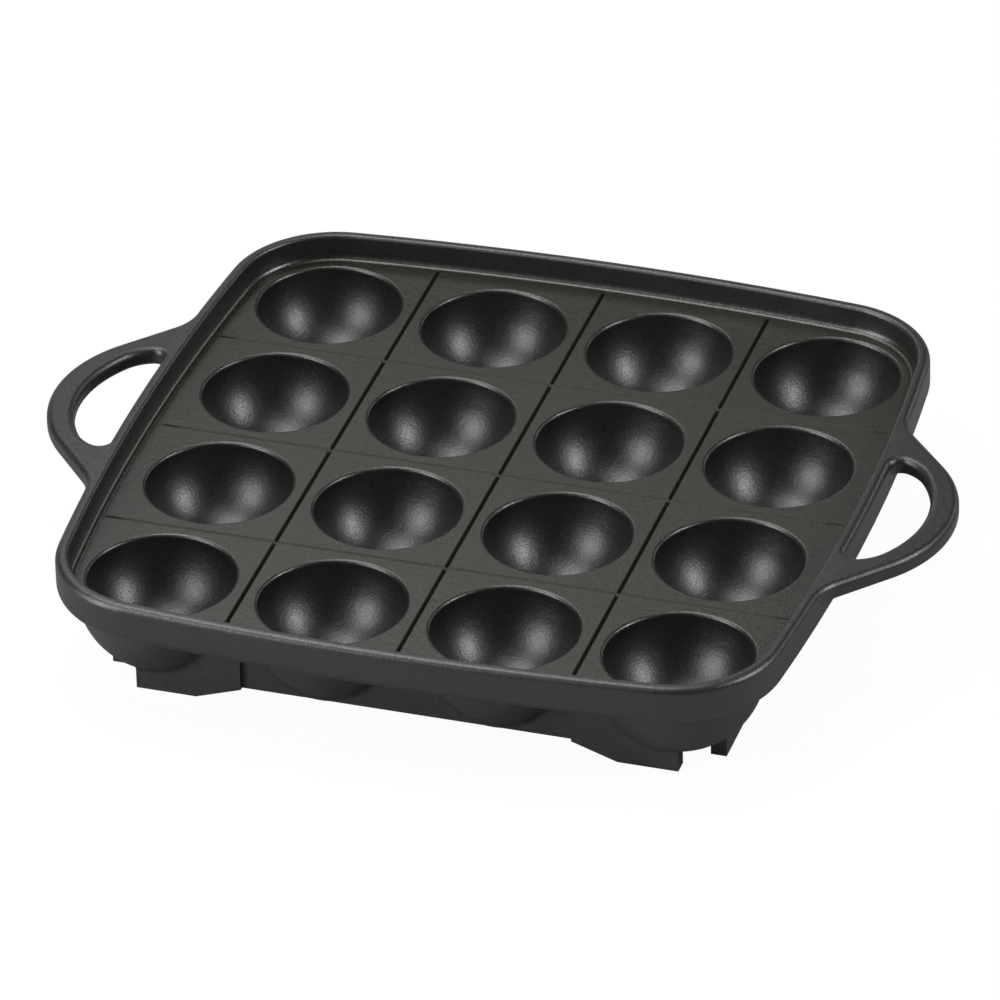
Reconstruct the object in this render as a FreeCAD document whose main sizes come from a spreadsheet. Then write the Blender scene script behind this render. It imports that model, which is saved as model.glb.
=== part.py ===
import FreeCAD, Part
import math
import os

import Sketcher

# Takoyaki pan: one casting with sixteen half-ball cups in a shallow tray, a loop handle at each
# end and four foot rails underneath. The casting is divided along its own feature lines: the
# scored lines between the cups, the foot of the tray wall, the roots of the handles and the
# tops of the rails. The origin is on the standing surface, under the middle of the tray.
# X runs from handle to handle and Z is up.

SIZES = [
    ("cup_radius", 20.0, "inside radius of a half-ball cup"),
    ("cup_wall", 3.2, "wall of a cup"),
    ("cup_drop", 2.8, "how far the ball of a cup's outside sits below the deck's top"),
    ("cup_gap", 1.6, "space between the outsides of neighbouring cups"),
    ("lip_round", 1.0, "rounding of the mouth of a cup"),
    ("root_round", 0.7, "rounding where a cup leaves the underside of the deck"),
    ("deck_thickness", 4.0, "thickness of the flat deck between the cups"),
    ("foot_clearance", 1.5, "height of the cups' undersides over the standing surface"),
    ("score_depth", 0.7, "depth of the scored lines from front to back"),
    ("score_half_width", 0.65, "half width of those lines"),
    ("faint_depth", 0.25, "depth of the faint lines from side to side"),
    ("faint_half_width", 0.45, "half width of the faint lines and of their ends"),
    ("faint_end_depth", 0.7, "depth of the ends of the faint lines"),
    ("faint_end_length", 4.0, "length of those ends"),
    ("deck_border", 2.0, "flat deck outside the outermost cups' squares"),
    ("rim_ledge", 0.6, "flat strip between the deck's edge and the wall's inner rounding"),
    ("rim_foot_round", 1.8, "rounding between the deck and the tray wall"),
    ("rim_wall", 3.6, "thickness of the tray wall"),
    ("rim_rise", 7.5, "height of the tray wall above the deck"),
    ("rim_outer_round", 1.9, "rounding of the outer top edges of wall and handles"),
    ("rim_inner_round", 1.0, "rounding of the inner top edge of the wall"),
    ("wall_lower_round", 3.5, "rounding of the lower outer edge of the wall"),
    ("handle_lower_round", 1.6, "rounding of the lower edges of the handles"),
    ("side_bow_radius", 776.0, "radius of the bowed sides, at the outside"),
    ("corner_radius", 30.0, "corner radius of the tray, at the outside"),
    ("handle_reach", 23.5, "how far a handle stands out from the side"),
    ("handle_thickness", 5.2, "thickness of a handle"),
    ("handle_band", 7.9, "width of the handle's band at its nose"),
    ("nose_radius", 38.8, "outside radius of the handle's nose"),
    ("flank_angle", 42.0, "half angle of the nose, in degrees"),
    ("handle_root_radius", 14.3, "radius of the hollow between handle and side"),
    ("hole_nose_radius", 36.0, "radius of the hole's long outer side"),
    ("hole_end_radius", 12.0, "radius of the hole's ends"),
    ("hole_corner_radius", 3.0, "radius of the hole's corners at the wall"),
    ("hole_length", 51.0, "length of the hole along the side"),
    ("handle_stub", 0.6, "stub of a handle that belongs to the wall"),
    ("rail_offset", 12.6, "outer face of a rail from the centres of the outermost cups"),
    ("rail_thickness", 3.2, "thickness of a rail"),
    ("rail_middle", 46.0, "half length of the rail's straight middle"),
    ("rail_end", 75.5, "half length of a rail"),
    ("rail_clearance", 4.3, "height of the rail's straight middle over the standing surface"),
    ("foot_length", 16.8, "length of a foot's flat"),
    ("foot_step", 1.2, "how far the feet stand proud of the rail"),
    ("collar_radius", 2.0, "rounding between a rail's outer face and a cup"),
]

CUPS_ALONG = 4  # cups in a row, and rows
CUT_MARGIN = 1.0  # how far a cut runs out into the air

PITCH = "(2 * (sizes.cup_radius + sizes.cup_wall) + sizes.cup_gap)"
DECK_TOP = "(sizes.cup_radius + sizes.cup_wall + sizes.cup_drop + sizes.foot_clearance)"
DECK_UNDERSIDE = f"({DECK_TOP} - sizes.deck_thickness)"
BALL_CENTRE = f"({DECK_TOP} - sizes.cup_drop)"
RIM_TOP = f"({DECK_TOP} + sizes.rim_rise)"
HANDLE_UNDERSIDE = f"({RIM_TOP} - sizes.handle_thickness)"
DECK_INSET = "(sizes.rim_wall + sizes.rim_foot_round + sizes.rim_ledge)"
HALF_GRID = f"({CUPS_ALONG / 2} * {PITCH})"
OUTERMOST = f"({HALF_GRID} - {PITCH} / 2)"
HALF_SIDE = f"({HALF_GRID} + sizes.deck_border + {DECK_INSET})"
RAIL_FACE = f"({OUTERMOST} + sizes.rail_offset)"
HANDLE_SPLIT = f"({HALF_SIDE} + sizes.handle_stub)"

UP = FreeCAD.Vector(0, 0, 1)
TOLERANCE = 1e-4

doc = FreeCAD.newDocument("takoyaki_pan")
sheet = doc.addObject("Spreadsheet::Sheet", "sizes")
for line, (alias, size, meaning) in enumerate(SIZES, start=1):
    sheet.set(f"A{line}", meaning)
    sheet.set(f"B{line}", str(size))
    sheet.setAlias(f"B{line}", alias)
doc.recompute()


def value(expression):
    return float(sheet.evalExpression(expression))


def bind(feature, **expressions):
    for name, expression in expressions.items():
        feature.setExpression(name, expression)


def origin_feature(body, role):
    return next(item for item in body.Origin.OriginFeatures if item.Role == role)


def new_body(name):
    body = doc.addObject("PartDesign::Body", name)
    body.Label = name
    return body


def new_sketch(body, name, role, **offsets):
    sketch = body.newObject("Sketcher::SketchObject", name)
    sketch.AttachmentSupport = (origin_feature(body, role), [""])
    sketch.MapMode = "FlatFace"
    for axis, expression in offsets.items():
        sketch.setExpression(f"AttachmentOffset.Base.{axis}", expression)
    return sketch


def arc(centre, radius, start, end):
    circle = Part.Circle(FreeCAD.Vector(*centre, 0), UP, radius)
    return Part.ArcOfCircle(circle, start, end)


def segment(start, end):
    return Part.LineSegment(FreeCAD.Vector(*start, 0), FreeCAD.Vector(*end, 0))


def constrain(sketch, kind, *references):
    sketch.addConstraint(Sketcher.Constraint(kind, *references))


def measure(sketch, name, expression, kind, *references):
    """Adds a dimension that follows an expression in the sheet's sizes."""
    size = value(expression)
    if kind == "Angle":
        size = math.radians(size)
    index = sketch.addConstraint(Sketcher.Constraint(kind, *references, size))
    sketch.renameConstraint(index, name)
    sketch.setExpression(f"Constraints.{name}", expression)


def polygon(sketch, points):
    """Adds a closed polygon. Each corner is a pair of expressions, placed from the origin."""
    corners = [(value(across), value(along)) for across, along in points]
    first = sketch.GeometryCount
    for number, start in enumerate(corners):
        sketch.addGeometry(segment(start, corners[(number + 1) % len(corners)]))
    for number, (across, along) in enumerate(points):
        here = first + number
        before = first + (number - 1) % len(points)
        constrain(sketch, "Coincident", before, 2, here, 1)
        measure(sketch, f"across_{here}", across, "DistanceX", -1, 1, here, 1)
        measure(sketch, f"along_{here}", along, "DistanceY", -1, 1, here, 1)


def corner_centre(half, bow, corner):
    """Distance from both axes of a corner arc that is tangent to the two bowed sides."""
    side_centre = half - bow
    return (side_centre + math.sqrt(2 * (bow - corner) ** 2 - side_centre ** 2)) / 2


def bowed_square(sketch, inset):
    """Adds the tray's outline, moved inwards: four bowed sides and four tangent corners."""
    half_side = f"({HALF_SIDE} - {inset})"
    bow_radius = f"(sizes.side_bow_radius - {inset})"
    corner_radius = f"(sizes.corner_radius - {inset})"
    half, bow, corner = value(half_side), value(bow_radius), value(corner_radius)
    reach = corner_centre(half, bow, corner)
    swing = math.atan2(reach, reach - half + bow)
    for quarter in range(4):
        turn = quarter * math.pi / 2
        cosine, sine = round(math.cos(turn)), round(math.sin(turn))
        sketch.addGeometry(arc(((half - bow) * cosine, (half - bow) * sine), bow,
                               turn - swing, turn + swing))
        sketch.addGeometry(arc((reach * (cosine - sine), reach * (cosine + sine)), corner,
                               turn + swing, turn + math.pi / 2 - swing))
    for number in range(8):
        constrain(sketch, "Tangent", number, 2, (number + 1) % 8, 1)
    for quarter in range(4):
        side = 2 * quarter
        measure(sketch, f"bow_{quarter}", bow_radius, "Radius", side)
        measure(sketch, f"corner_{quarter}", corner_radius, "Radius", side + 1)
        axis = -1 if quarter % 2 == 0 else -2
        constrain(sketch, "PointOnObject", side, 3, axis)
    centre = f"({bow_radius} - {half_side})"
    measure(sketch, "right_centre", centre, "DistanceX", 0, 3, -1, 1)
    measure(sketch, "back_centre", centre, "DistanceY", 2, 3, -1, 1)
    measure(sketch, "left_centre", centre, "DistanceX", -1, 1, 4, 3)
    measure(sketch, "front_centre", centre, "DistanceY", -1, 1, 6, 3)


def handle_outline(sketch):
    """Adds the right half of the wall's outline with its handle, from the front to the back."""
    half = value(HALF_SIDE)
    bow = value("sizes.side_bow_radius")
    corner = value("sizes.corner_radius")
    root = value("sizes.handle_root_radius")
    nose = value("sizes.nose_radius")
    flank = math.radians(value("sizes.flank_angle"))
    side_centre = half - bow
    nose_centre = half + value("sizes.handle_reach") - nose
    reach = corner_centre(half, bow, corner)
    swing = math.atan2(reach, reach - side_centre)
    lean = (math.cos(flank) * (nose_centre - side_centre) + nose + root) / (bow + root)
    root_swing = flank - math.acos(lean)
    root_x = side_centre + (bow + root) * math.cos(root_swing)
    root_y = (bow + root) * math.sin(root_swing)
    flank_foot = (root_x - root * math.cos(flank), root_y - root * math.sin(flank))
    flank_top = (nose_centre + nose * math.cos(flank), nose * math.sin(flank))
    half_turn = math.pi
    quarter_turn = math.pi / 2
    sketch.addGeometry([
        arc((0, -side_centre), bow, -quarter_turn, swing - quarter_turn),
        arc((reach, -reach), corner, swing - quarter_turn, -swing),
        arc((side_centre, 0), bow, -swing, -root_swing),
        arc((root_x, -root_y), root, half_turn - flank, half_turn - root_swing),
        segment((flank_foot[0], -flank_foot[1]), (flank_top[0], -flank_top[1])),
        arc((nose_centre, 0), nose, -flank, flank),
        segment(flank_top, flank_foot),
        arc((root_x, root_y), root, half_turn + root_swing, half_turn + flank),
        arc((side_centre, 0), bow, root_swing, swing),
        arc((reach, reach), corner, swing, quarter_turn - swing),
        arc((0, side_centre), bow, quarter_turn - swing, quarter_turn),
        segment((0, half), (0, -half)),
    ])
    for first, end, second, start in [(0, 2, 1, 1), (1, 2, 2, 1), (2, 2, 3, 2), (3, 1, 4, 1),
                                      (4, 2, 5, 1), (5, 2, 6, 1), (6, 2, 7, 2), (7, 1, 8, 1),
                                      (8, 2, 9, 1), (9, 2, 10, 1)]:
        constrain(sketch, "Tangent", first, end, second, start)
    constrain(sketch, "Coincident", 10, 2, 11, 1)
    constrain(sketch, "Coincident", 11, 2, 0, 1)
    constrain(sketch, "PointOnObject", 11, 1, -2)
    constrain(sketch, "PointOnObject", 11, 2, -2)
    constrain(sketch, "PointOnObject", 0, 3, -2)
    constrain(sketch, "PointOnObject", 10, 3, -2)
    constrain(sketch, "PointOnObject", 2, 3, -1)
    constrain(sketch, "PointOnObject", 5, 3, -1)
    constrain(sketch, "Coincident", 2, 3, 8, 3)
    side_distance = f"(sizes.side_bow_radius - {HALF_SIDE})"
    measure(sketch, "front_centre", side_distance, "DistanceY", -1, 1, 0, 3)
    measure(sketch, "back_centre", side_distance, "DistanceY", 10, 3, -1, 1)
    measure(sketch, "side_centre", side_distance, "DistanceX", 2, 3, -1, 1)
    nose_distance = f"({HALF_SIDE} + sizes.handle_reach - sizes.nose_radius)"
    measure(sketch, "nose_centre", nose_distance, "DistanceX", -1, 1, 5, 3)
    measure(sketch, "nose_radius", "sizes.nose_radius", "Radius", 5)
    for number, geometry in enumerate((0, 2, 8, 10)):
        measure(sketch, f"bow_{number}", "sizes.side_bow_radius", "Radius", geometry)
    for number, geometry in enumerate((1, 9)):
        measure(sketch, f"corner_{number}", "sizes.corner_radius", "Radius", geometry)
    for number, geometry in enumerate((3, 7)):
        measure(sketch, f"root_{number}", "sizes.handle_root_radius", "Radius", geometry)
    measure(sketch, "front_flank", "90 - sizes.flank_angle", "Angle", 4)
    measure(sketch, "back_flank", "90 + sizes.flank_angle", "Angle", 6)


def handle_hole(sketch):
    """Adds the finger hole: its inner side follows the wall, its outer side the nose."""
    bow = value("sizes.side_bow_radius")
    nose = value("sizes.hole_nose_radius")
    end = value("sizes.hole_end_radius")
    corner = value("sizes.hole_corner_radius")
    side_centre = value(HALF_SIDE) - bow
    nose_distance = (f"({HALF_SIDE} + sizes.handle_reach - sizes.handle_band"
                     " - sizes.hole_nose_radius)")
    end_distance = "(sizes.hole_length / 2 - sizes.hole_end_radius)"
    nose_centre = value(nose_distance)
    end_y = value(end_distance)
    end_x = nose_centre + math.sqrt((nose - end) ** 2 - end_y ** 2)
    nose_swing = math.atan2(end_y, end_x - nose_centre)
    span = math.hypot(end_x - side_centre, end_y)
    tilt = math.atan2(end_y, end_x - side_centre)
    far, near = bow + corner, end - corner
    corner_swing = tilt + math.acos((span ** 2 + far ** 2 - near ** 2) / (2 * span * far))
    corner_x = side_centre + far * math.cos(corner_swing)
    corner_y = far * math.sin(corner_swing)
    end_swing = math.atan2(corner_y - end_y, corner_x - end_x)
    half_turn = math.pi
    first = sketch.GeometryCount
    sketch.addGeometry([
        arc((nose_centre, 0), nose, -nose_swing, nose_swing),
        arc((end_x, end_y), end, nose_swing, end_swing),
        arc((corner_x, corner_y), corner, end_swing, half_turn + corner_swing),
        arc((side_centre, 0), bow, -corner_swing, corner_swing),
        arc((corner_x, -corner_y), corner, half_turn - corner_swing, -end_swing),
        arc((end_x, -end_y), end, -end_swing, -nose_swing),
    ])
    for before, stop, after, start in [(0, 2, 1, 1), (1, 2, 2, 1), (2, 2, 3, 2), (3, 1, 4, 1),
                                       (4, 2, 5, 1), (5, 2, 0, 1)]:
        constrain(sketch, "Tangent", first + before, stop, first + after, start)
    constrain(sketch, "PointOnObject", first, 3, -1)
    measure(sketch, "hole_nose_centre", nose_distance, "DistanceX", -1, 1, first, 3)
    measure(sketch, "hole_nose_radius", "sizes.hole_nose_radius", "Radius", first)
    measure(sketch, "hole_back_end", end_distance, "DistanceY", -1, 1, first + 1, 3)
    measure(sketch, "hole_front_end", end_distance, "DistanceY", first + 5, 3, -1, 1)
    for number, geometry in enumerate((1, 5)):
        measure(sketch, f"hole_end_{number}", "sizes.hole_end_radius", "Radius", first + geometry)
    for number, geometry in enumerate((2, 4)):
        measure(sketch, f"hole_corner_{number}", "sizes.hole_corner_radius", "Radius",
                first + geometry)
    side_distance = f"(sizes.side_bow_radius - {HALF_SIDE})"
    constrain(sketch, "PointOnObject", first + 3, 3, -1)
    measure(sketch, "hole_side_centre", side_distance, "DistanceX", first + 3, 3, -1, 1)
    measure(sketch, "hole_side_radius", "sizes.side_bow_radius", "Radius", first + 3)


def middle_of(edge):
    return edge.valueAt((edge.FirstParameter + edge.LastParameter) / 2)


def is_level(edge, height):
    points = [vertex.Point for vertex in edge.Vertexes] + [middle_of(edge)]
    return all(abs(point.z - height) < TOLERANCE for point in points)


def lies_along(edge, outline):
    return outline.distToShape(Part.Vertex(middle_of(edge)))[0] < TOLERANCE


def edge_names(shape, wanted):
    return [f"Edge{number}" for number, edge in enumerate(shape.Edges, start=1) if wanted(edge)]


def round_edges(body, name, radius, wanted):
    doc.recompute()
    base = body.Tip
    fillet = body.newObject("PartDesign::Fillet", name)
    fillet.Base = (base, edge_names(base.Shape, wanted))
    bind(fillet, Radius=radius)
    return fillet


def pad(body, name, sketch, length):
    feature = body.newObject("PartDesign::Pad", name)
    feature.Profile = sketch
    bind(feature, Length=length)
    return feature


def pocket(body, name, sketch, length):
    feature = body.newObject("PartDesign::Pocket", name)
    feature.Profile = sketch
    bind(feature, Length=length)
    return feature


def swap_tip(body, kind, name, originals):
    """Adds a pattern of earlier features and makes it the end of the body."""
    feature = body.newObject(kind, name)
    feature.Originals = originals
    body.Tip = feature
    return feature


def mirror_across(body, name, originals, role):
    mirrored = swap_tip(body, "PartDesign::Mirrored", name, originals)
    mirrored.MirrorPlane = (origin_feature(body, role), [""])
    return mirrored


def row_pattern(body, name, originals):
    """Repeats features of the first cup in a row for the whole row."""
    row = swap_tip(body, "PartDesign::LinearPattern", name, originals)
    row.Direction = (origin_feature(body, "X_Axis"), [""])
    row.Occurrences = CUPS_ALONG
    bind(row, Length=f"2 * {OUTERMOST}")
    return row


def cup_grid(body, name, original):
    """Repeats the feature of the front left cup over all columns and rows."""
    grid = row_pattern(body, name, [original])
    grid.Direction2 = (origin_feature(body, "Y_Axis"), [""])
    grid.Occurrences2 = CUPS_ALONG
    bind(grid, Length2=f"2 * {OUTERMOST}")
    return grid


def bowl_profile(sketch):
    """Adds half the section of a cup's outside, from the ball's centre."""
    ball = value("sizes.cup_radius + sizes.cup_wall")
    root = value("sizes.root_round")
    top = value("sizes.cup_drop - sizes.deck_thickness")
    root_y = top - root
    root_x = math.sqrt((ball + root) ** 2 - root_y ** 2)
    swing = math.atan2(root_y, root_x)
    sketch.addGeometry([
        arc((0, 0), ball, -math.pi / 2, swing),
        arc((root_x, root_y), root, math.pi / 2, math.pi + swing),
        segment((root_x, top), (0, top)),
        segment((0, top), (0, -ball)),
    ])
    constrain(sketch, "Tangent", 0, 2, 1, 2)
    constrain(sketch, "Tangent", 1, 1, 2, 1)
    constrain(sketch, "Coincident", 2, 2, 3, 1)
    constrain(sketch, "Coincident", 3, 2, 0, 1)
    constrain(sketch, "Coincident", 0, 3, -1, 1)
    constrain(sketch, "PointOnObject", 3, 1, -2)
    constrain(sketch, "PointOnObject", 3, 2, -2)
    constrain(sketch, "Horizontal", 2)
    measure(sketch, "ball", "sizes.cup_radius + sizes.cup_wall", "Radius", 0)
    measure(sketch, "root", "sizes.root_round", "Radius", 1)
    measure(sketch, "underside", "sizes.deck_thickness - sizes.cup_drop", "DistanceY",
            3, 1, -1, 1)


def hollow_profile(sketch):
    """Adds half the section of a cup's hollow, with the rounded lip at its mouth."""
    ball = value("sizes.cup_radius")
    lip = value("sizes.lip_round")
    lip_x = math.sqrt((ball + lip) ** 2 - lip ** 2)
    swing = math.atan2(-lip, lip_x)
    sketch.addGeometry([
        arc((0, 0), ball, -math.pi / 2, swing),
        arc((lip_x, -lip), lip, math.pi / 2, math.pi + swing),
        segment((lip_x, 0), (lip_x, CUT_MARGIN)),
        segment((lip_x, CUT_MARGIN), (0, CUT_MARGIN)),
        segment((0, CUT_MARGIN), (0, -ball)),
    ])
    constrain(sketch, "Tangent", 0, 2, 1, 2)
    constrain(sketch, "Coincident", 1, 1, 2, 1)
    constrain(sketch, "Coincident", 2, 2, 3, 1)
    constrain(sketch, "Coincident", 3, 2, 4, 1)
    constrain(sketch, "Coincident", 4, 2, 0, 1)
    constrain(sketch, "Coincident", 0, 3, -1, 1)
    constrain(sketch, "PointOnObject", 4, 1, -2)
    constrain(sketch, "PointOnObject", 4, 2, -2)
    constrain(sketch, "Vertical", 1, 1, 1, 3)
    constrain(sketch, "Vertical", 2)
    constrain(sketch, "Horizontal", 3)
    measure(sketch, "ball", "sizes.cup_radius", "Radius", 0)
    measure(sketch, "lip", "sizes.lip_round", "Radius", 1)
    measure(sketch, "lip_depth", "sizes.lip_round", "DistanceY", 1, 3, -1, 1)
    measure(sketch, "headroom", f"{CUT_MARGIN}", "DistanceY", 1, 1, 3, 1)


def turned(body, kind, name, sketch, axis):
    feature = body.newObject(kind, name)
    feature.Profile = sketch
    feature.ReferenceAxis = (sketch, [axis])
    feature.Angle = 360
    return feature


def score_lines(sketch, half_width, depth):
    """Adds the V sections of the lines between the cups. The origin lies on the deck's top."""
    for line in range(1, CUPS_ALONG):
        middle = f"({line} * {PITCH} - {HALF_GRID})"
        polygon(sketch, [
            (f"{middle} - 2 * {half_width}", depth),
            (middle, f"-{depth}"),
            (f"{middle} + 2 * {half_width}", depth),
        ])


def cup_deck():
    """The deck with all its cups and scored lines, before it is divided."""
    body = new_body("cup_deck")
    outline = new_sketch(body, "deck_outline", "XY_Plane", z=DECK_UNDERSIDE)
    bowed_square(outline, DECK_INSET)
    pad(body, "deck_plate", outline, "sizes.deck_thickness")
    outside = new_sketch(body, "bowl_section", "XZ_Plane", x=f"-{OUTERMOST}", y=BALL_CENTRE,
                         z=OUTERMOST)
    bowl_profile(outside)
    cup_grid(body, "bowls", turned(body, "PartDesign::Revolution", "bowl", outside, "V_Axis"))
    inside = new_sketch(body, "hollow_section", "XZ_Plane", x=f"-{OUTERMOST}", y=DECK_TOP,
                        z=OUTERMOST)
    hollow_profile(inside)
    cup_grid(body, "hollows", turned(body, "PartDesign::Groove", "hollow", inside, "V_Axis"))
    scored = new_sketch(body, "scored_lines", "XZ_Plane", y=DECK_TOP)
    score_lines(scored, "sizes.score_half_width", "sizes.score_depth")
    pocket(body, "score", scored, f"2 * {HALF_SIDE}").SideType = "Symmetric"
    faint = new_sketch(body, "faint_lines", "YZ_Plane", y=DECK_TOP)
    score_lines(faint, "sizes.faint_half_width", "sizes.faint_depth")
    pocket(body, "faint_score", faint, f"2 * {HALF_GRID}").SideType = "Symmetric"
    ends = new_sketch(body, "faint_line_ends", "YZ_Plane", y=DECK_TOP, z=HALF_GRID)
    score_lines(ends, "sizes.faint_half_width", "sizes.faint_end_depth")
    end = pocket(body, "faint_score_end", ends, "sizes.faint_end_length")
    mirror_across(body, "faint_score_ends", [end], "YZ_Plane")
    return body


def rim_casting():
    """The tray wall with both loop handles, before it is divided."""
    body = new_body("rim_casting")
    under, deck = value(HANDLE_UNDERSIDE), value(DECK_TOP)
    top, bottom = value(RIM_TOP), value(DECK_UNDERSIDE)
    loop = new_sketch(body, "handle_outline", "XY_Plane", z=HANDLE_UNDERSIDE)
    handle_outline(loop)
    handle_hole(loop)
    handle = pad(body, "handle_layer", loop, "sizes.handle_thickness")
    mirror_across(body, "both_handles", [handle], "YZ_Plane")
    round_edges(body, "handle_bottom", "sizes.handle_lower_round",
                lambda edge: is_level(edge, under))
    wall = new_sketch(body, "wall_outline", "XY_Plane", z=DECK_UNDERSIDE)
    bowed_square(wall, "0")
    pad(body, "wall_block", wall, f"{RIM_TOP} - {DECK_UNDERSIDE}")
    tray = new_sketch(body, "tray_outline", "XY_Plane", z=RIM_TOP)
    bowed_square(tray, "sizes.rim_wall")
    pocket(body, "tray", tray, "sizes.rim_rise")
    round_edges(body, "wall_foot", "sizes.rim_foot_round", lambda edge: is_level(edge, deck))
    window = new_sketch(body, "deck_window_outline", "XY_Plane", z=DECK_TOP)
    bowed_square(window, DECK_INSET)
    pocket(body, "deck_window", window, "2 * sizes.deck_thickness")
    round_edges(body, "outer_top", "sizes.rim_outer_round",
                lambda edge: is_level(edge, top) and not lies_along(edge, tray.Shape))
    round_edges(body, "inner_top", "sizes.rim_inner_round",
                lambda edge: is_level(edge, top) and lies_along(edge, tray.Shape))
    round_edges(body, "wall_bottom", "sizes.wall_lower_round",
                lambda edge: is_level(edge, bottom) and lies_along(edge, wall.Shape))
    return body


def collar_profile(sketch, face_distance):
    """Adds the section of the rounding between a cup, at the origin, and a rail's outer face."""
    ball = value("sizes.cup_radius + sizes.cup_wall")
    collar = value("sizes.collar_radius")
    face = value(face_distance)
    centre_x = -face - collar
    centre_y = -math.sqrt((ball + collar) ** 2 - centre_x ** 2)
    share = ball / (ball + collar)
    touch = (centre_x * share, centre_y * share)
    sketch.addGeometry([
        arc((centre_x, centre_y), collar, 0, math.atan2(-centre_y, -centre_x)),
        segment(touch, (-face, touch[1])),
        segment((-face, touch[1]), (-face, centre_y)),
    ])
    constrain(sketch, "Coincident", 0, 2, 1, 1)
    constrain(sketch, "Coincident", 1, 2, 2, 1)
    constrain(sketch, "Coincident", 2, 2, 0, 1)
    constrain(sketch, "Horizontal", 1)
    constrain(sketch, "Vertical", 2)
    constrain(sketch, "Horizontal", 0, 1, 0, 3)
    measure(sketch, "collar", "sizes.collar_radius", "Radius", 0)
    measure(sketch, "face", face_distance, "DistanceX", 2, 1, -1, 1)
    reach = "(sizes.cup_radius + sizes.cup_wall + sizes.collar_radius)"
    drop = f"sqrt({reach} ^ 2 - ({face_distance} + sizes.collar_radius) ^ 2)"
    measure(sketch, "drop", drop, "DistanceY", 0, 3, -1, 1)
    part = f"(sizes.cup_radius + sizes.cup_wall) / {reach}"
    measure(sketch, "touch", f"{drop} * {part}", "DistanceY", 0, 2, -1, 1)


def rail_casting():
    """The front foot rail with its two feet, before it is trimmed."""
    body = new_body("rail_casting")
    front = f"({RAIL_FACE} + sizes.foot_step)"
    face = new_sketch(body, "rail_face", "XZ_Plane", z=front)
    foot_heel = "(sizes.rail_end - sizes.foot_length)"
    polygon(face, [
        ("-sizes.rail_end", DECK_UNDERSIDE),
        ("-sizes.rail_end", "0"),
        (f"-{foot_heel}", "0"),
        ("-sizes.rail_middle", "sizes.rail_clearance"),
        ("sizes.rail_middle", "sizes.rail_clearance"),
        (foot_heel, "0"),
        ("sizes.rail_end", "0"),
        ("sizes.rail_end", DECK_UNDERSIDE),
    ])
    pad(body, "rail_plate", face, "sizes.rail_thickness + sizes.foot_step").Reversed = True
    recess = new_sketch(body, "middle_recess", "XZ_Plane", z=front)
    polygon(recess, [
        ("-sizes.rail_middle", "0"),
        ("sizes.rail_middle", "0"),
        ("sizes.rail_middle", DECK_TOP),
        ("-sizes.rail_middle", DECK_TOP),
    ])
    pocket(body, "step_back", recess, "sizes.foot_step")
    for column in range(CUPS_ALONG):
        is_inner = 0 < column < CUPS_ALONG - 1
        distance = "sizes.rail_offset" if is_inner else "(sizes.rail_offset + sizes.foot_step)"
        section = new_sketch(body, f"collar_section_{column + 1}", "YZ_Plane",
                             x=f"-{OUTERMOST}", y=BALL_CENTRE,
                             z=f"{column} * {PITCH} - {OUTERMOST}")
        collar_profile(section, distance)
        collar = turned(body, "PartDesign::Revolution", f"collar_{column + 1}", section, "H_Axis")
        collar.Angle = 180
        collar.Midplane = True
    ball = new_sketch(body, "bowl_section", "XZ_Plane", x=f"-{OUTERMOST}", y=BALL_CENTRE,
                      z=OUTERMOST)
    bowl_profile(ball)
    bowl = turned(body, "PartDesign::Groove", "bowl_seat", ball, "V_Axis")
    row_pattern(body, "bowl_seats", [bowl])
    return body


def block(name, low, size):
    """A box from its low corner and its size, each three expressions."""
    box = doc.addObject("Part::Box", name)
    for axis, expression in zip("xyz", low):
        box.setExpression(f"Placement.Base.{axis}", expression)
    bind(box, Length=size[0], Width=size[1], Height=size[2])
    return box


def piece(name, casting, space):
    """The stretch of a casting that lies inside a space."""
    part = doc.addObject("Part::Common", name)
    part.Label = name
    part.Base = casting
    part.Tool = space
    return part


def cell_span(number):
    """Start and length of a cup's square; the outermost ones reach past the deck's edge."""
    border = f"({HALF_SIDE} - {HALF_GRID})"
    start = f"{number} * {PITCH} - {HALF_GRID}"
    if number == 0:
        return f"{start} - {border}", f"{PITCH} + {border}"
    if number == CUPS_ALONG - 1:
        return start, f"{PITCH} + {border}"
    return start, PITCH


def cup_cells(deck):
    cells = []
    for row in range(CUPS_ALONG):
        front, depth = cell_span(row)
        for column in range(CUPS_ALONG):
            left, width = cell_span(column)
            name = f"cup_row{row + 1}_col{column + 1}"
            space = block(f"{name}_space", [left, front, "0"], [width, depth, RIM_TOP])
            cells.append(piece(name, deck, space))
    return cells


def rim_pieces(casting):
    reach = f"({HALF_SIDE} + sizes.handle_reach + {CUT_MARGIN})"
    width = f"2 * {reach}"
    middle = block("rim_space", [f"-{HANDLE_SPLIT}", f"-{reach}", "0"],
                   [f"2 * {HANDLE_SPLIT}", width, f"2 * {RIM_TOP}"])
    right = block("right_handle_space", [HANDLE_SPLIT, f"-{reach}", "0"],
                  [reach, width, f"2 * {RIM_TOP}"])
    left = block("left_handle_space", [f"-{HANDLE_SPLIT} - {reach}", f"-{reach}", "0"],
                 [reach, width, f"2 * {RIM_TOP}"])
    return [
        piece("tray_wall", casting, middle),
        piece("right_handle", casting, right),
        piece("left_handle", casting, left),
    ]


def foot_rails(casting):
    space = block("rail_space", ["-sizes.rail_end", f"-{HALF_SIDE}", "0"],
                  ["2 * sizes.rail_end", HALF_SIDE, DECK_UNDERSIDE])
    rails = []
    for name, turn in (("front", 0), ("right", 90), ("back", 180), ("left", 270)):
        rail = piece(f"{name}_foot_rail", casting, space)
        rail.Placement = FreeCAD.Placement(FreeCAD.Vector(), FreeCAD.Rotation(UP, turn))
        rails.append(rail)
    return rails


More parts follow.
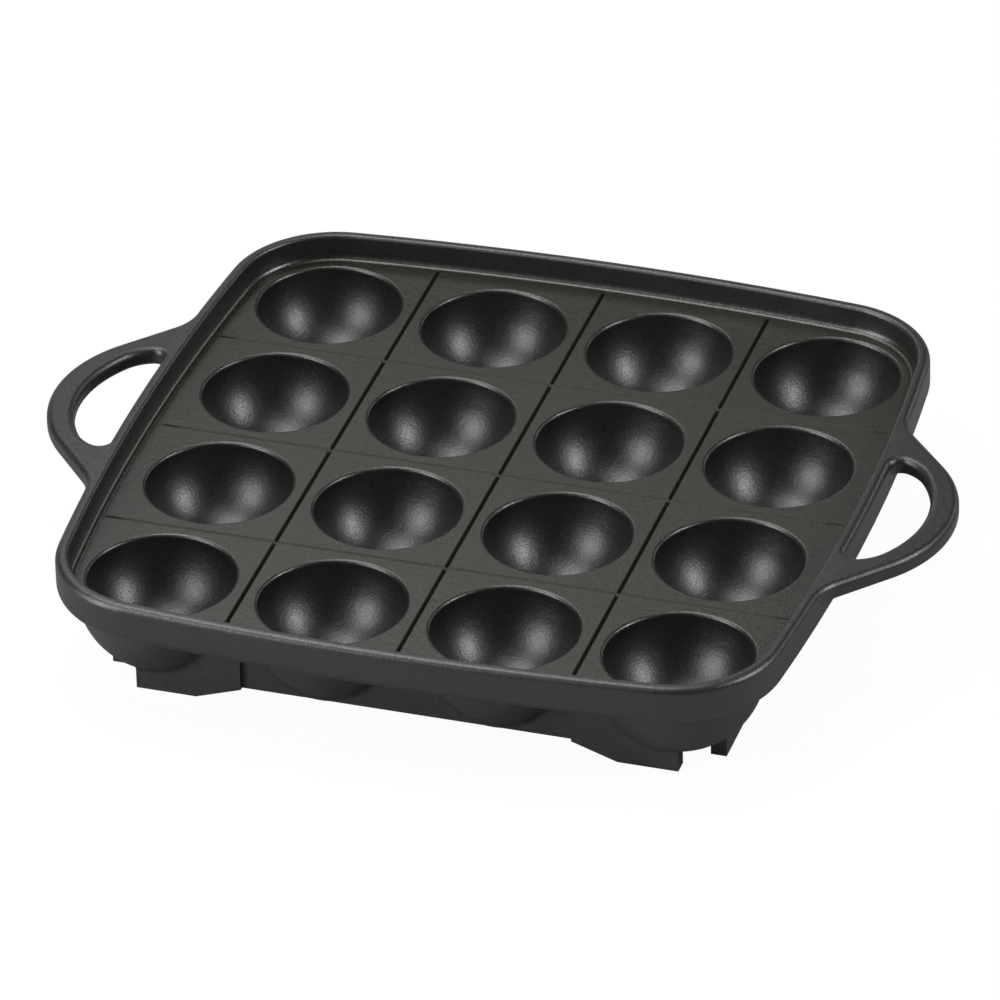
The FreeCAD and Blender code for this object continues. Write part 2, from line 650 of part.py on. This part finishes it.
def check(parts):
    failed = [item.Name for item in doc.Objects
              if "Invalid" in item.State or "Error" in item.State]
    if failed:
        raise RuntimeError(f"objects that failed: {failed}")
    for part in parts:
        if part.Shape.isNull() or not part.Shape.isValid() or not part.Shape.Solids:
            raise RuntimeError(f"{part.Label} has no valid shape")


def export(parts):
    os.makedirs("parts", exist_ok=True)
    for part in parts:
        part.Shape.exportStep(f"parts/{part.Label}.step")
        print(f"{part.Label}: {len(part.Shape.Solids)} solid, {part.Shape.Volume:.0f} mm3")


pieces = cup_cells(cup_deck()) + rim_pieces(rim_casting()) + foot_rails(rail_casting())
doc.recompute()
check(pieces)
export(pieces)
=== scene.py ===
import math

import bpy
from mathutils import Matrix, Quaternion, Vector

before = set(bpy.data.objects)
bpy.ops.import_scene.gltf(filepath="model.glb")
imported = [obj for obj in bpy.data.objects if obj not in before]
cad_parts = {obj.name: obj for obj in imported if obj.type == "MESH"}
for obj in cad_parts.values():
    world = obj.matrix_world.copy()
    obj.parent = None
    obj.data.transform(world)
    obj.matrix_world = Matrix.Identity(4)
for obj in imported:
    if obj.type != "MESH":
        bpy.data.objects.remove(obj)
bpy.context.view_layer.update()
scene = bpy.context.scene
scene.view_settings.view_transform = "Standard"
print("frame loaded:", len(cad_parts), "nodes")

# Lengths are in metres. X runs from handle to handle, Z is up and z = 0 is the standing surface.
pan = {
    "pitch": 0.048,  # from cup to cup
    "outerCups": 1.5,  # how far out the last cups' middles lie, in pitches
    "deckTop": 0.0275,
    "deckThickness": 0.004,
    "ballRadius": 0.020,  # inside of a cup
    "lipRound": 0.001,
    "cupWall": 0.0032,
    "lineHalfWidth": 0.00065,
}


def directionTo(azimuth, elevation):  # azimuth 0 is in front of the pan, 90 at its right
    turn, rise = math.radians(azimuth), math.radians(elevation)
    return Vector((math.sin(turn) * math.cos(rise), -math.cos(turn) * math.cos(rise), math.sin(rise)))


def around(value, offsets):
    return [value + offset for offset in offsets]


def addNode(tree, kind, inputs=None, **settings):
    node = tree.nodes.new("ShaderNode" + kind)
    for name, setting in settings.items():
        setattr(node, name, setting)
    for name, source in (inputs or {}).items():
        if isinstance(source, bpy.types.NodeSocket):
            tree.links.new(source, node.inputs[name])
        else:
            node.inputs[name].default_value = source
    return node


def maths(tree, operation, *values):
    return addNode(tree, "Math", dict(enumerate(values)), operation=operation).outputs[0]


def split(tree, vector):
    return addNode(tree, "SeparateXYZ", {0: vector}).outputs


def mixValues(tree, factor, first, second):
    return addNode(tree, "Mix", {0: factor, 2: first, 3: second}).outputs[0]


def fade(tree, value, low, high, startAt=0.0, endAt=1.0):  # a smooth step from startAt to endAt
    limits = {"Value": value, "From Min": low, "From Max": high, "To Min": startAt, "To Max": endAt}
    return addNode(tree, "MapRange", limits, interpolation_type="SMOOTHSTEP").outputs["Result"]


def blendColours(tree, factor, first, second):
    node = addNode(tree, "Mix", {"Factor": factor}, data_type="RGBA")
    for socket, source in ((node.inputs[6], first), (node.inputs[7], second)):
        if isinstance(source, bpy.types.NodeSocket):
            tree.links.new(source, socket)
        else:
            socket.default_value = source
    return node.outputs[2]


def newGroup(name, inputs, outputs):  # both hold a socket's kind under its name
    tree = bpy.data.node_groups.new(name, "ShaderNodeTree")
    for side, sockets in (("INPUT", inputs), ("OUTPUT", outputs)):
        for socketName, kind in sockets.items():
            tree.interface.new_socket(socketName, in_out=side, socket_type="NodeSocket" + kind)
    return tree, tree.nodes.new("NodeGroupInput").outputs, tree.nodes.new("NodeGroupOutput").inputs


sprayPattern = {
    "grainDetail": 2.0,
    "grainRoughness": 0.6,
    "grainShade": (0.85, 1.15),
    "fleckEdge": (0.45, 0.20),  # a fleck fades in between these distances from its middle, in grains
    "cloudScale": 60.0,
    "cloudDetail": 3.0,
    "cloudShade": (0.93, 1.07),
    "waveScale": 450.0,
    "waveDetail": 1.0,
    "noiseRange": (0.3, 0.7),  # most of a noise texture's values lie between these
}


def makeCoatGroup():
    # Sprayed non-stick coat: fine pale flecks in a darker ground, and the small waves of the spray.
    pattern = sprayPattern
    tree, given, result = newGroup(
        "sprayedCoat",
        {"Position": "Vector", "Ground": "Color", "Fleck Gain": "Float", "Fleck Share": "Float",
         "Grains per Metre": "Float"},
        {"Colour": "Color", "Gloss Mask": "Float", "Height": "Float"},
    )
    grains = {"Vector": given["Position"], "Scale": given["Grains per Metre"]}
    clouds = {"Vector": given["Position"], "Scale": pattern["cloudScale"]}
    swell = {"Vector": given["Position"], "Scale": pattern["waveScale"]}
    fine = addNode(tree, "TexNoise", {**grains, "Detail": pattern["grainDetail"],
                                      "Roughness": pattern["grainRoughness"]}).outputs["Fac"]
    cloud = addNode(tree, "TexNoise", {**clouds, "Detail": pattern["cloudDetail"]}).outputs["Fac"]
    waves = addNode(tree, "TexNoise", {**swell, "Detail": pattern["waveDetail"]}).outputs["Fac"]

    cells = addNode(tree, "TexVoronoi", grains).outputs
    spot = fade(tree, cells["Distance"], *pattern["fleckEdge"])
    isFleck = maths(tree, "LESS_THAN", cells["Color"], given["Fleck Share"])
    fleck = maths(tree, "MULTIPLY", spot, isFleck)
    gain = mixValues(tree, fleck, 1.0, given["Fleck Gain"])

    cloudShade = fade(tree, cloud, *pattern["noiseRange"], *pattern["cloudShade"])
    grainShade = fade(tree, fine, *pattern["noiseRange"], *pattern["grainShade"])
    shade = maths(tree, "MULTIPLY", maths(tree, "MULTIPLY", cloudShade, grainShade), gain)
    shaded = addNode(tree, "VectorMath", {0: given["Ground"], "Scale": shade}, operation="SCALE")
    tree.links.new(shaded.outputs["Vector"], result["Colour"])
    tree.links.new(fine, result["Gloss Mask"])
    tree.links.new(maths(tree, "ADD", fine, waves), result["Height"])
    return tree


cupEdges = {
    "hollowFade": (-0.0001, -0.0008),  # from the deck's top, where the painted shade inside a cup fades in
    "lipFade": (-0.0030, -0.0015),  # from the deck's top
    "lipInside": (-0.0002, 0.0002),  # from the radius of the ball
    "lipOutside": (0.0003, -0.0002),  # from the outer radius of the lip
    "lineFade": (1.3, 0.6),  # in half widths of a line
}


def offsetInCell(tree, source):  # from the nearest point of a grid with the cups' pitch
    half = pan["pitch"] / 2
    limits = {0: source, 1: (half, half, 1), 2: (-half, -half, -1)}
    return addNode(tree, "VectorMath", limits, operation="WRAP").outputs[0]


def makeCupPlaceGroup():
    # Where a point lies on the cup grid: inside a cup, on a lip, below the deck or in a line. The masks of
    # a cup's inside, of the scored lines and of the places where lines cross carry painted shade and
    # painted light.
    edges = cupEdges
    tree, given, result = newGroup(
        "cupPlace",
        {"Position": "Vector", "Line Half Width": "Float"},
        {"Hollow Painted Shade": "Float", "Lip": "Float", "Underside": "Float", "Scored Line": "Float",
         "Faint Line": "Float", "Crossing Painted Light": "Float"},
    )
    half, top, ball = pan["pitch"] / 2, pan["deckTop"], pan["ballRadius"]
    deckMiddle = top - pan["deckThickness"] / 2
    here = split(tree, given["Position"])

    fromCup = addNode(tree, "VectorMath", {0: given["Position"], 1: (half, half, top)},
                      operation="SUBTRACT").outputs[0]
    reach = addNode(tree, "VectorMath", {0: offsetInCell(tree, fromCup)},
                    operation="LENGTH").outputs["Value"]
    inBall = maths(tree, "LESS_THAN", reach, ball + pan["cupWall"] / 2)
    outside = maths(tree, "SUBTRACT", 1.0, inBall)
    # mask for the painted shade inside a cup
    belowTop = fade(tree, here["Z"], *around(top, edges["hollowFade"]))
    tree.links.new(maths(tree, "MULTIPLY", inBall, belowTop), result["Hollow Painted Shade"])
    pastBall = fade(tree, reach, *around(ball, edges["lipInside"]))
    beforeDeck = fade(tree, reach, *around(ball + pan["lipRound"], edges["lipOutside"]))
    nearTop = fade(tree, here["Z"], *around(top, edges["lipFade"]))
    lipRing = maths(tree, "MULTIPLY", pastBall, beforeDeck)
    tree.links.new(maths(tree, "MULTIPLY", lipRing, nearTop), result["Lip"])
    lowDeck = maths(tree, "LESS_THAN", here["Z"], deckMiddle)
    tree.links.new(maths(tree, "MULTIPLY", lowDeck, outside), result["Underside"])

    off = split(tree, offsetInCell(tree, given["Position"]))
    onDeck = maths(tree, "GREATER_THAN", here["Z"], deckMiddle)
    wide, narrow = (maths(tree, "MULTIPLY", given["Line Half Width"], share) for share in edges["lineFade"])
    lineMasks = {}
    for across in ("X", "Y"):
        near = fade(tree, maths(tree, "ABSOLUTE", off[across]), wide, narrow)
        inner = maths(tree, "LESS_THAN", maths(tree, "ABSOLUTE", here[across]),
                      pan["outerCups"] * pan["pitch"])
        lineMasks[across] = maths(tree, "MULTIPLY", maths(tree, "MULTIPLY", near, inner), onDeck)
    unbroken = maths(tree, "SUBTRACT", 1.0, lineMasks["Y"])
    tree.links.new(maths(tree, "MULTIPLY", lineMasks["X"], unbroken), result["Scored Line"])
    tree.links.new(lineMasks["Y"], result["Faint Line"])
    # mask of the places where lines cross, which get painted light
    tree.links.new(maths(tree, "MULTIPLY", lineMasks["X"], lineMasks["Y"]), result["Crossing Painted Light"])
    return tree


coatGroup = makeCoatGroup()
cupPlaceGroup = makeCupPlaceGroup()
print("shader groups made")

coatFinish = {
    "deck": (0.0104, 0.0104, 0.0048, 1),
    # painted shade: a darker ground inside the cups than on the deck, for the shade in the cups
    "hollow": (0.0058, 0.0062, 0.0058, 1),
    # painted shade: used as a metal's colour in the scored lines, so that they return almost no light, for
    # the shade inside the cuts
    "scoredLinePaintedShade": (0.0240, 0.0230, 0.0190, 1),
    # painted light: a pale ground where the lines cross, for the light that falls into the breaks
    "crossingPaintedLight": (0.0500, 0.0490, 0.0420, 1),
    # painted bounce light: below the deck the ground is made much paler than the deck's, for the light the
    # floor throws up
    "underside": (0.0330, 0.0328, 0.0325, 1),
    "fleckGain": 1.9,  # how much paler a fleck is than its ground
    "fleckShare": 0.25,
    "grainsPerMetre": 1300.0,
    "roughness": 0.40,
    "lineRoughness": 0.85,
    "lipRoughness": 0.36,
    "undersideRoughness": 0.55,
    "roughnessSpread": 0.03,
    "specularLevel": 0.94,
    "bumpDistance": 0.00010,
    "bumpStrength": 0.55,
}


def startMaterial(name):
    material = bpy.data.materials.new(name)
    material.use_nodes = True
    tree = material.node_tree
    position = addNode(tree, "TexCoord").outputs["Object"]
    return material, tree, tree.nodes["Principled BSDF"], position


def sprayCoat(tree, position, ground, finish):
    return addNode(tree, "Group", node_tree=coatGroup, inputs={
        "Position": position,
        "Ground": ground,
        "Fleck Gain": finish["fleckGain"],
        "Fleck Share": finish["fleckShare"],
        "Grains per Metre": finish["grainsPerMetre"],
    }).outputs


def finishSurface(tree, surface, coat, roughness, finish):
    spread = finish["roughnessSpread"]
    waver = fade(tree, coat["Gloss Mask"], *sprayPattern["noiseRange"], -spread, spread)
    bump = addNode(tree, "Bump", {"Height": coat["Height"], "Strength": finish["bumpStrength"],
                                  "Distance": finish["bumpDistance"]})
    tree.links.new(coat["Colour"], surface.inputs["Base Color"])
    tree.links.new(maths(tree, "ADD", roughness, waver), surface.inputs["Roughness"])
    tree.links.new(bump.outputs["Normal"], surface.inputs["Normal"])
    surface.inputs["Specular IOR Level"].default_value = finish["specularLevel"]


def makeCupMaterial():
    finish = coatFinish
    material, tree, surface, position = startMaterial("cupCoat")
    place = addNode(tree, "Group", {"Position": position, "Line Half Width": pan["lineHalfWidth"]},
                    node_tree=cupPlaceGroup).outputs
    # painted shade inside the cups
    ground = blendColours(tree, place["Hollow Painted Shade"], finish["deck"], finish["hollow"])
    # paler ground below the deck: painted bounce light from the floor
    ground = blendColours(tree, place["Underside"], ground, finish["underside"])
    # painted shade in the scored lines
    ground = blendColours(tree, place["Scored Line"], ground, finish["scoredLinePaintedShade"])
    # painted light where the lines cross
    ground = blendColours(tree, place["Crossing Painted Light"], ground, finish["crossingPaintedLight"])
    matt = mixValues(tree, place["Underside"], finish["roughness"], finish["undersideRoughness"])
    line = maths(tree, "MAXIMUM", place["Scored Line"], place["Faint Line"])
    matt = mixValues(tree, line, matt, finish["lineRoughness"])
    matt = mixValues(tree, place["Lip"], matt, finish["lipRoughness"])
    finishSurface(tree, surface, sprayCoat(tree, position, ground, finish), matt, finish)
    # Painted shade in the scored lines: there the surface is a metal of a nearly black colour, which
    # returns almost no light, standing in for the shade inside a narrow cut.
    tree.links.new(place["Scored Line"], surface.inputs["Metallic"])
    return material


rimFinish = {
    **coatFinish,
    "ground": (0.0118, 0.0113, 0.0096, 1),
    "specularLevel": 1.0,
    "footBlend": 0.004,  # height over which the rim takes on the deck's shade
    "footFacing": (0.1, 0.6),  # upward part of the normal, from no blend to a full one
    "footRoughness": 0.30,
}


def makeRimMaterial():
    finish = rimFinish
    material, tree, surface, position = startMaterial("rimCoat")
    facing = addNode(tree, "NewGeometry").outputs["Normal"]
    facingUp = fade(tree, split(tree, facing)["Z"], *finish["footFacing"])
    nearDeck = fade(tree, split(tree, position)["Z"], pan["deckTop"] + finish["footBlend"],
                    pan["deckTop"])
    foot = maths(tree, "MULTIPLY", facingUp, nearDeck)
    ground = blendColours(tree, foot, finish["ground"], finish["deck"])
    matt = mixValues(tree, foot, finish["roughness"], finish["footRoughness"])
    finishSurface(tree, surface, sprayCoat(tree, position, ground, finish), matt, finish)
    return material


handleFinish = {
    **coatFinish,
    "ground": (0.0117, 0.0112, 0.0095, 1),
    "specularLevel": 0.90,
}
railFinish = {
    **coatFinish,
    # paler ground than the deck's: painted bounce light from the floor on the rails
    "ground": (0.0320, 0.0318, 0.0315, 1),
    "roughness": 0.50,
    "bumpDistance": 0.00014,
}


def makePlainCoat(name, finish):
    material, tree, surface, position = startMaterial(name)
    coat = sprayCoat(tree, position, finish["ground"], finish)
    finishSurface(tree, surface, coat, finish["roughness"], finish)
    return material


coats = {
    "cup": makeCupMaterial(),
    "tray_wall": makeRimMaterial(),
    "handle": makePlainCoat("handleCoat", handleFinish),
    "rail": makePlainCoat("railCoat", railFinish),
}
for nodeName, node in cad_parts.items():
    part = next(name for name in coats if name in nodeName)
    node.data.materials.clear()
    node.data.materials.append(coats[part])
print("materials on the pan")

floorSettings = {
    "halfSize": 3.0,
    "colour": (0.42, 0.42, 0.42, 1),
    "shadowShare": 0.12,  # share of the lit floor that the camera sees, the rest is plain glow
    "glow": 1.09,
}


def makeFloor():
    mesh = bpy.data.meshes.new("floor")
    half = floorSettings["halfSize"]
    mesh.from_pydata([(-half, -half, 0), (half, -half, 0), (half, half, 0), (-half, half, 0)], [],
                     [(0, 1, 2, 3)])
    floor = bpy.data.objects.new("floor", mesh)
    scene.collection.objects.link(floor)
    material = bpy.data.materials.new("paleFloor")
    material.use_nodes = True
    tree = material.node_tree
    tree.nodes.clear()
    lit = addNode(tree, "BsdfDiffuse", {"Color": floorSettings["colour"]})
    glow = addNode(tree, "Emission", {"Strength": floorSettings["glow"]})
    seen = addNode(tree, "LightPath").outputs["Is Camera Ray"]
    share = maths(tree, "MULTIPLY", seen, 1 - floorSettings["shadowShare"])
    mixed = addNode(tree, "MixShader", {0: share, 1: lit.outputs[0], 2: glow.outputs[0]})
    fromBelow = addNode(tree, "NewGeometry").outputs["Backfacing"]
    clear = addNode(tree, "BsdfTransparent")  # so that the underside can be looked at
    sided = addNode(tree, "MixShader", {0: fromBelow, 1: mixed.outputs[0], 2: clear.outputs[0]})
    addNode(tree, "OutputMaterial", {"Surface": sided.outputs[0]})
    mesh.materials.append(material)


makeFloor()
print("floor laid")

view = {
    "azimuth": 18.0718,
    "elevation": 32.5201,
    "roll": -1.4608,
    "distance": 2.65441,
    "target": (0.000327, -0.000980, 0.02),
    "lens": 352.22,
    "sensorWidth": 36.0,
    "clipEnd": 50.0,
}


def makeCamera():
    back = directionTo(view["azimuth"], view["elevation"])
    turn, roll = math.radians(view["azimuth"]), math.radians(view["roll"])
    level = Vector((math.cos(turn), math.sin(turn), 0))
    across = Matrix.Rotation(roll, 3, back) @ level
    upwards = back.cross(across)
    place = Vector(view["target"]) + back * view["distance"]
    data = bpy.data.cameras.new("camera")
    data.lens = view["lens"]
    data.sensor_width = view["sensorWidth"]
    data.clip_end = view["clipEnd"]
    camera = bpy.data.objects.new("camera", data)
    camera.matrix_world = Matrix.Translation(place) @ Matrix((across, upwards, back)).transposed().to_4x4()
    scene.collection.objects.link(camera)
    scene.camera = camera


makeCamera()

lamps = [
    # name, azimuth, elevation, turn about its own axis, distance, width, height, watts
    ("leftBox", -49, 34, 38, 2.2, 1.15, 1.20, 24.5),
    ("lowBox", -52, 7, 0, 2.2, 0.90, 0.50, 13.0),
    ("rightBox", 97, 35, -52, 1.6, 0.38, 0.80, 11.5),
    ("backBox", 212, 50, 0, 1.3, 0.60, 0.50, 2.0),
    ("edgeBox", 244, 68, 0, 1.6, 0.70, 0.70, 6.5),
    ("farBox", 205, 8, 0, 2.5, 2.50, 0.70, 4.0),
    ("topBox", -80, 78, 0, 1.6, 0.50, 1.20, 4.6),
    ("sideBox", 150, 20, 0, 1.8, 0.50, 0.50, 1.6),
]


def makeLamp(name, azimuth, elevation, turn, distance, width, height, watts):
    data = bpy.data.lights.new(name, "AREA")
    data.shape = "RECTANGLE"
    data.size, data.size_y, data.energy = width, height, watts
    lamp = bpy.data.objects.new(name, data)
    back = directionTo(azimuth, elevation)
    lamp.location = back * distance
    lamp.rotation_mode = "QUATERNION"
    lamp.rotation_quaternion = Quaternion(back, math.radians(turn)) @ (-back).to_track_quat("-Z", "Y")
    scene.collection.objects.link(lamp)


for lampSettings in lamps:
    makeLamp(*lampSettings)

worldSettings = {
    "colour": (1, 1, 1, 1),
    "light": 0.04,  # strength that lights the pan
    "backdrop": 1.0,  # strength that the camera sees
}


def makeWorld():
    world = bpy.data.worlds.new("studio")
    world.use_nodes = True
    tree = world.node_tree
    tree.nodes.clear()
    seen = addNode(tree, "LightPath").outputs["Is Camera Ray"]
    dim, white = (addNode(tree, "Background", {"Color": worldSettings["colour"],
                                               "Strength": worldSettings[strength]})
                  for strength in ("light", "backdrop"))
    mixed = addNode(tree, "MixShader", {0: seen, 1: dim.outputs[0], 2: white.outputs[0]})
    addNode(tree, "OutputWorld", {"Surface": mixed.outputs[0]})
    scene.world = world


makeWorld()
print("camera, lamps and world set")
